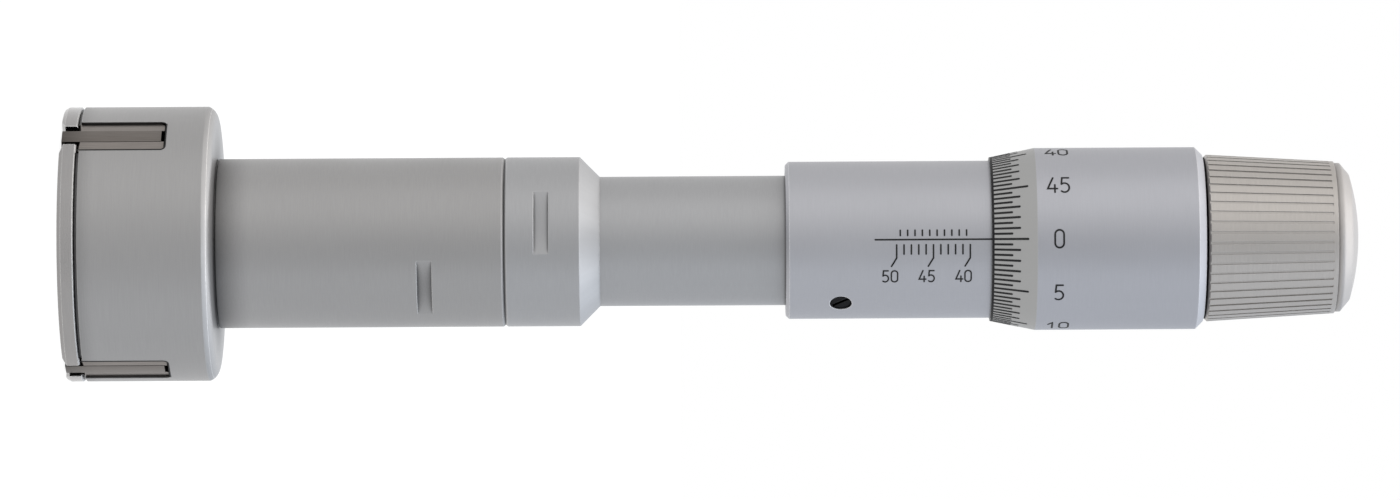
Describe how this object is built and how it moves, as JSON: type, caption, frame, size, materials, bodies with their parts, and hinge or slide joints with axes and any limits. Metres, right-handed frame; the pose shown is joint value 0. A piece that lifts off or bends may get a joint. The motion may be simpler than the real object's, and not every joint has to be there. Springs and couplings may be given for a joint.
{
  "type": "three-point micrometer",
  "caption": "Three-point internal micrometer with a cylindrical measuring head, three sliding anvils, a graduated sleeve and thimble, and a fluted ratchet knob.",
  "frame": {"origin": "centre of the head's flat front face, on which it stands", "axes": "+Z along the measuring axis from the head to the ratchet knob; -Y is the side with the index line"},
  "size_m": [0.0376, 0.0376, 0.1769],
  "materials": {
    "satin_chrome": "satin chrome plate, finely ground",
    "scale_chrome": "matt satin chrome plate for reading scales",
    "knob_chrome": "satin chrome plate, fluted",
    "jaw_steel": "hardened and ground steel",
    "hard_insert": "ground hard-metal strip",
    "plain_steel": "ground steel",
    "spring_steel": "drawn spring wire",
    "black_steel": "black oxide steel",
    "bronze": "turned bronze"
  },
  "bodies": {
    "frame": {"head_body": "satin_chrome", "front_cover": "satin_chrome", "cover_screws": "black_steel", "connecting_tube": "satin_chrome", "guide_bush": "bronze", "nut_body": "plain_steel", "adjusting_nut": "plain_steel", "scale_sleeve": "scale_chrome", "sleeve_set_screw": "black_steel", "rod_spring": "spring_steel", "return_spring_1": "spring_steel", "return_spring_2": "spring_steel", "return_spring_3": "spring_steel"},
    "cone_carriage": {"measuring_cone": "plain_steel", "push_rod": "plain_steel", "rod_ball": "plain_steel"},
    "thimble_group": {"thimble": "scale_chrome", "spindle": "plain_steel", "ratchet_arbor": "plain_steel", "retaining_screw": "black_steel", "ratchet_spring": "spring_steel"},
    "clutch": {"clutch_disc": "plain_steel"},
    "knob_group": {"knob": "knob_chrome", "knob_cap": "knob_chrome", "ratchet_ring": "plain_steel"},
    "anvil_1": {"jaw_1": "jaw_steel", "anvil_insert_1": "hard_insert"},
    "anvil_2": {"jaw_2": "jaw_steel", "anvil_insert_2": "hard_insert"},
    "anvil_3": {"jaw_3": "jaw_steel", "anvil_insert_3": "hard_insert"}
  },
  "joints": [
    {"name": "cone_feed", "type": "slide", "parent": "frame", "child": "cone_carriage", "axis": [0, 0, -1], "range_m": [0, 0.013], "deforming": ["rod_spring"]},
    {"name": "thimble_turn", "type": "hinge", "parent": "cone_carriage", "child": "thimble_group", "pos_m": [0, 0, 0.13], "axis": [0, 0, -1], "range_deg": [-0.5, 9360.5]},
    {"name": "ratchet_turn", "type": "hinge", "parent": "thimble_group", "child": "knob_group", "pos_m": [0, 0, 0.166], "axis": [0, 0, -1], "continuous": true},
    {"name": "clutch_lift", "type": "slide", "parent": "thimble_group", "child": "clutch", "axis": [0, 0, -1], "range_m": [0, 0.0006], "stiffness_N_per_m": 400, "springref_m": -0.004, "deforming": ["ratchet_spring"]},
    {"name": "anvil_slide_1", "type": "slide", "parent": "frame", "child": "anvil_1", "axis": [-0.7934, -0.6088, 0], "range_m": [-0.00001, 0.00651], "deforming": ["return_spring_1"]},
    {"name": "anvil_slide_2", "type": "slide", "parent": "frame", "child": "anvil_2", "axis": [0.9239, -0.3827, 0], "range_m": [-0.00001, 0.00651], "deforming": ["return_spring_2"]},
    {"name": "anvil_slide_3", "type": "slide", "parent": "frame", "child": "anvil_3", "axis": [-0.1305, 0.9914, 0], "range_m": [-0.00001, 0.00651], "deforming": ["return_spring_3"]}
  ],
  "couplings": [
    {"joint": "thimble_turn", "follows": "cone_feed", "rad_per_m": 12566},
    {"joint": "anvil_slide_1", "follows": "cone_feed", "ratio": 0.5},
    {"joint": "anvil_slide_2", "follows": "cone_feed", "ratio": 0.5},
    {"joint": "anvil_slide_3", "follows": "cone_feed", "ratio": 0.5}
  ]
}
